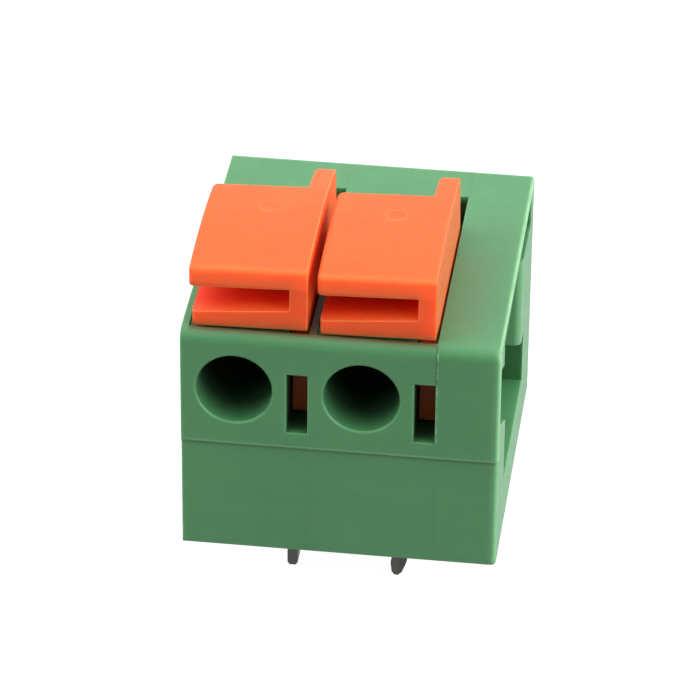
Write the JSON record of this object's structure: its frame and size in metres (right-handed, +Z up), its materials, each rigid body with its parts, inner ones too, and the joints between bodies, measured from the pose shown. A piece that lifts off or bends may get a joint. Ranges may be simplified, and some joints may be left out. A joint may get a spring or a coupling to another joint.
{
  "type": "spring terminal block",
  "caption": "Green board-mount spring terminal block with round wire funnels and orange slotted release levers that rock back to open the clamps; solder pins below.",
  "frame": {"origin": "centre of the underside, on the plane that seats on the circuit board", "axes": "+Z up from the board, -Y the side the wires enter, +X along the poles towards the end plate"},
  "size_m": [0.0126, 0.0136, 0.0163],
  "materials": {
    "green_housing": "satin moulded nylon",
    "orange_lever": "satin moulded nylon",
    "tinned_contact": "dull tin plate",
    "spring_steel": "bright rolled strip"
  },
  "bodies": {
    "block": {"housing_1": "green_housing", "housing_2": "green_housing", "end_plate": "green_housing", "contact_1": "tinned_contact", "contact_2": "tinned_contact", "clamp_spring_1": "spring_steel", "clamp_spring_2": "spring_steel"},
    "left_lever": {"lever_1": "orange_lever"},
    "right_lever": {"lever_2": "orange_lever"}
  },
  "joints": [
    {"name": "left_lever_rock", "type": "hinge", "parent": "block", "child": "left_lever", "pos_m": [-0.00169, -0.00407, 0.00695], "axis": [-1, 0, 0], "range_deg": [0, 13], "stiffness_Nm_per_rad": 0.1, "springref_deg": -8.59, "deforming": ["clamp_spring_1"]},
    {"name": "right_lever_rock", "type": "hinge", "parent": "block", "child": "right_lever", "pos_m": [0.00331, -0.00407, 0.00695], "axis": [-1, 0, 0], "range_deg": [0, 13], "stiffness_Nm_per_rad": 0.1, "springref_deg": -8.59, "deforming": ["clamp_spring_2"]}
  ]
}
